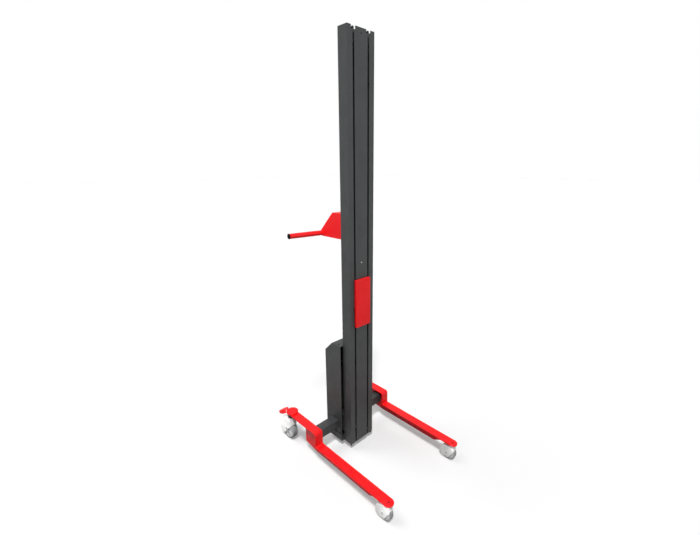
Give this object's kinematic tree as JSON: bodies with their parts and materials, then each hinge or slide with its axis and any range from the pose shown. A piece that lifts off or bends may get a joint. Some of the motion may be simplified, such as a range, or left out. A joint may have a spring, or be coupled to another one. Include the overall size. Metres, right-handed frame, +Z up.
{
  "type": "manual lift trolley",
  "caption": "Hand-cranked lift trolley: slotted mast with a belt-driven carriage and flat tool plate, push handle, and a straddle base on hooded swivel casters.",
  "frame": {"origin": "middle of the trolley's footprint on the floor, under the bounding box's centre", "axes": "+X to the trolley's right seen from behind the handle, +Y to the rear where the handle is, +Z up along the mast; the tool plate faces -Y"},
  "size_m": [0.565, 0.8369, 2.036],
  "materials": {
    "dark_paint": "fine-textured dark grey powder coat",
    "red_paint": "semi-gloss red powder coat",
    "zinc_steel": "zinc-plated or bright turned steel",
    "black_plastic": "matt black nylon",
    "white_plastic": "satin white moulded nylon",
    "wheel_plastic": "light grey moulded wheel body",
    "grey_tyre": "grey non-marking tread",
    "belt_rubber": "black reinforced belt"
  },
  "bodies": {
    "chassis": {"mast_profile": "dark_paint", "front_cover": "dark_paint", "panel_screws": "zinc_steel", "foot_plate": "dark_paint", "top_bracket": "dark_paint", "lower_bearings": "dark_paint", "lift_belt": "belt_rubber", "drive_housing": "dark_paint", "winch_frame": "dark_paint", "tube_collars": "dark_paint", "mast_bracket": "dark_paint", "frame_bolts": "zinc_steel", "cross_tube": "dark_paint", "left_leg": "red_paint", "right_leg": "red_paint", "handle_bracket": "red_paint", "handlebar": "red_paint", "handle_end_caps": "black_plastic", "front_caster_stems": "zinc_steel", "rear_caster_stems": "black_plastic", "rear_arm_caps": "red_paint"},
    "carriage": {"inner_carriage": "dark_paint", "carriage_arms": "dark_paint", "carriage_plate": "red_paint", "carriage_screws": "zinc_steel", "belt_clamp": "zinc_steel", "roller_axles": "zinc_steel", "glide_pads": "white_plastic"},
    "upper_roller_pair": {"upper_rollers": "black_plastic"},
    "lower_roller_pair": {"lower_rollers": "black_plastic"},
    "top_pulley_set": {"top_pulley": "zinc_steel", "top_shaft": "zinc_steel"},
    "lower_pulley_set": {"lower_pulley": "zinc_steel", "lower_shaft": "zinc_steel"},
    "upper_idler_roll": {"upper_idler": "zinc_steel"},
    "lower_idler_roll": {"lower_idler": "zinc_steel"},
    "crank": {"crank_shaft": "zinc_steel", "drive_pulley": "zinc_steel", "ratchet_wheel": "zinc_steel", "crank_arm": "dark_paint"},
    "crank_handle": {"crank_grip": "black_plastic"},
    "pawl": {"ratchet_pawl": "zinc_steel"},
    "front_left_swivel": {"front_left_hood": "white_plastic", "front_left_axle": "zinc_steel"},
    "front_left_wheel": {"front_left_tyre": "grey_tyre", "front_left_core": "wheel_plastic"},
    "front_right_swivel": {"front_right_hood": "white_plastic", "front_right_axle": "zinc_steel"},
    "front_right_wheel": {"front_right_tyre": "grey_tyre", "front_right_core": "wheel_plastic"},
    "rear_left_swivel": {"rear_left_hood": "white_plastic", "rear_left_axle": "zinc_steel"},
    "rear_left_wheel": {"rear_left_tyre": "grey_tyre", "rear_left_core": "wheel_plastic"},
    "left_brake": {"left_pedal": "red_paint"},
    "rear_right_swivel": {"rear_right_hood": "white_plastic", "rear_right_axle": "zinc_steel"},
    "rear_right_wheel": {"rear_right_tyre": "grey_tyre", "rear_right_core": "wheel_plastic"},
    "right_brake": {"right_pedal": "red_paint"}
  },
  "joints": [
    {"name": "carriage_lift", "type": "slide", "parent": "chassis", "child": "carriage", "axis": [0, 0, 1], "range_m": [-0.57, 0.99]},
    {"name": "upper_roller_spin", "type": "hinge", "parent": "carriage", "child": "upper_roller_pair", "pos_m": [0, 0.0487, 0.919], "axis": [1, 0, 0], "range_deg": [-1316, 2282]},
    {"name": "lower_roller_spin", "type": "hinge", "parent": "carriage", "child": "lower_roller_pair", "pos_m": [0, 0.0487, 0.749], "axis": [1, 0, 0], "range_deg": [-2282, 1316]},
    {"name": "top_pulley_spin", "type": "hinge", "parent": "chassis", "child": "top_pulley_set", "pos_m": [0, 0.0487, 1.984], "axis": [1, 0, 0], "range_deg": [-3070, 1769]},
    {"name": "lower_pulley_spin", "type": "hinge", "parent": "chassis", "child": "lower_pulley_set", "pos_m": [0, 0.0487, 0.106], "axis": [1, 0, 0], "range_deg": [-3070, 1769]},
    {"name": "upper_idler_spin", "type": "hinge", "parent": "chassis", "child": "upper_idler_roll", "pos_m": [0, 0.0787, 0.496], "axis": [1, 0, 0], "range_deg": [-2844, 4936]},
    {"name": "lower_idler_spin", "type": "hinge", "parent": "chassis", "child": "lower_idler_roll", "pos_m": [0, 0.0787, 0.436], "axis": [1, 0, 0], "range_deg": [-2844, 4936]},
    {"name": "crank_turn", "type": "hinge", "parent": "chassis", "child": "crank", "pos_m": [0, 0.1405, 0.466], "axis": [1, 0, 0], "range_deg": [-3070, 1769]},
    {"name": "crank_grip_spin", "type": "hinge", "parent": "crank", "child": "crank_handle", "pos_m": [0.15, 0.27566, 0.37136], "axis": [1, 0, 0], "continuous": true},
    {"name": "pawl_swing", "type": "hinge", "parent": "chassis", "child": "pawl", "pos_m": [0.0435, 0.1065, 0.498], "axis": [1, 0, 0], "range_deg": [0, 20]},
    {"name": "front_left_swivel_turn", "type": "hinge", "parent": "chassis", "child": "front_left_swivel", "pos_m": [-0.2505, -0.395, 0.1], "axis": [0, 0, 1], "continuous": true},
    {"name": "front_left_wheel_spin", "type": "hinge", "parent": "front_left_swivel", "child": "front_left_wheel", "pos_m": [-0.2505, -0.375, 0.04], "axis": [1, 0, 0], "continuous": true},
    {"name": "front_right_swivel_turn", "type": "hinge", "parent": "chassis", "child": "front_right_swivel", "pos_m": [0.2505, -0.395, 0.1], "axis": [0, 0, 1], "continuous": true},
    {"name": "front_right_wheel_spin", "type": "hinge", "parent": "front_right_swivel", "child": "front_right_wheel", "pos_m": [0.2505, -0.375, 0.04], "axis": [1, 0, 0], "continuous": true},
    {"name": "rear_left_swivel_turn", "type": "hinge", "parent": "chassis", "child": "rear_left_swivel", "pos_m": [-0.2505, 0.3125, 0.1], "axis": [0, 0, 1], "continuous": true},
    {"name": "rear_left_wheel_spin", "type": "hinge", "parent": "rear_left_swivel", "child": "rear_left_wheel", "pos_m": [-0.2505, 0.3505, 0.0625], "axis": [1, 0, 0], "continuous": true},
    {"name": "left_pedal_press", "type": "hinge", "parent": "rear_left_swivel", "child": "left_brake", "pos_m": [-0.2505, 0.3525, 0.162], "axis": [1, 0, 0], "range_deg": [-12, 0]},
    {"name": "rear_right_swivel_turn", "type": "hinge", "parent": "chassis", "child": "rear_right_swivel", "pos_m": [0.2505, 0.3125, 0.1], "axis": [0, 0, 1], "continuous": true},
    {"name": "rear_right_wheel_spin", "type": "hinge", "parent": "rear_right_swivel", "child": "rear_right_wheel", "pos_m": [0.2505, 0.3505, 0.0625], "axis": [1, 0, 0], "continuous": true},
    {"name": "right_pedal_press", "type": "hinge", "parent": "rear_right_swivel", "child": "right_brake", "pos_m": [0.2505, 0.3525, 0.162], "axis": [1, 0, 0], "range_deg": [-12, 0]}
  ],
  "couplings": [
    {"joint": "upper_roller_spin", "follows": "carriage_lift", "rad_per_m": 40.161},
    {"joint": "lower_roller_spin", "follows": "carriage_lift", "rad_per_m": -40.161},
    {"joint": "top_pulley_spin", "follows": "carriage_lift", "rad_per_m": -54.054},
    {"joint": "lower_pulley_spin", "follows": "carriage_lift", "rad_per_m": -54.054},
    {"joint": "upper_idler_spin", "follows": "carriage_lift", "rad_per_m": 86.957},
    {"joint": "lower_idler_spin", "follows": "carriage_lift", "rad_per_m": 86.957},
    {"joint": "crank_turn", "follows": "carriage_lift", "rad_per_m": -54.054}
  ]
}
